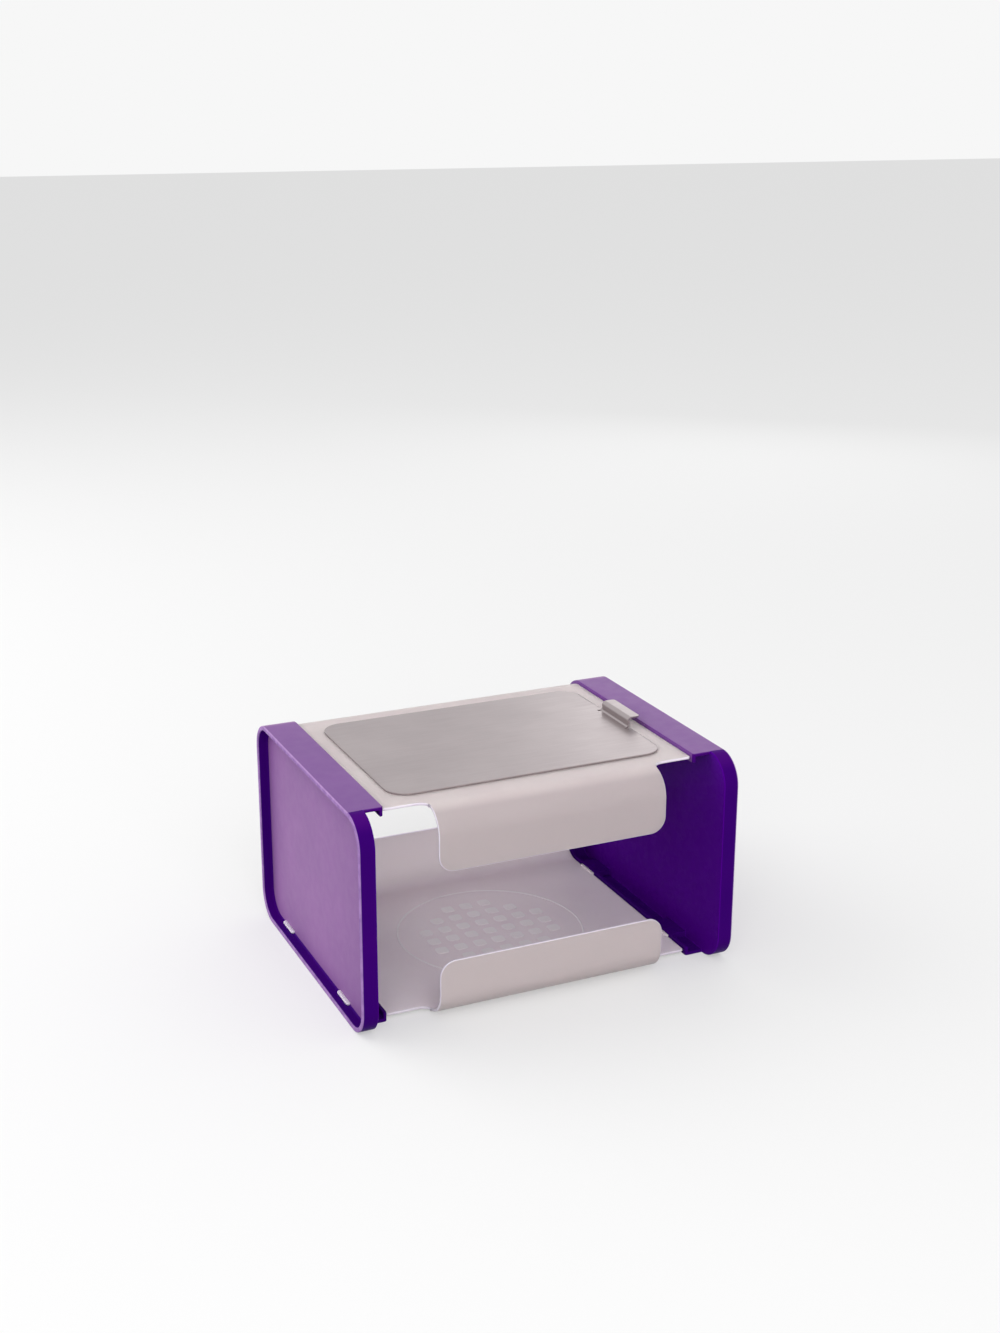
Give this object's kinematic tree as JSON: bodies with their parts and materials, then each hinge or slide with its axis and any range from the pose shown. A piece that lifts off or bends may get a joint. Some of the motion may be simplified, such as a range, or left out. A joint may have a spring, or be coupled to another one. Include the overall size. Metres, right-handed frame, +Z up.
{
  "type": "milk storage freezer box",
  "caption": "Open-fronted freezer box with dished purple end panels, flanged frosted panels above and below, and a loose metal tray with a finger tab on top.",
  "frame": {"origin": "middle of the base, on the surface that the box stands on", "axes": "+X along the box to the right end panel, -Y out of the open front, +Z up"},
  "size_m": [0.225, 0.174, 0.1302],
  "materials": {
    "purple_plastic": "satin moulded polypropylene",
    "frosted_plastic": "frosted translucent polypropylene",
    "satin_aluminium": "satin"
  },
  "bodies": {
    "frosted_panels": {"bottom_panel": "frosted_plastic", "top_panel": "frosted_plastic"},
    "left_end": {"left_end_panel": "purple_plastic"},
    "right_end": {"right_end_panel": "purple_plastic"},
    "tray": {"quick_freeze_tray": "satin_aluminium"}
  },
  "joints": [
    {"name": "tray_lift", "type": "slide", "parent": "frosted_panels", "child": "tray", "axis": [0, 0, 1], "range_m": [0, 0.06]},
    {"name": "left_end_pull", "type": "slide", "parent": "frosted_panels", "child": "left_end", "axis": [-1, 0, 0], "range_m": [0, 0.025]},
    {"name": "right_end_pull", "type": "slide", "parent": "frosted_panels", "child": "right_end", "axis": [1, 0, 0], "range_m": [0, 0.025]}
  ]
}
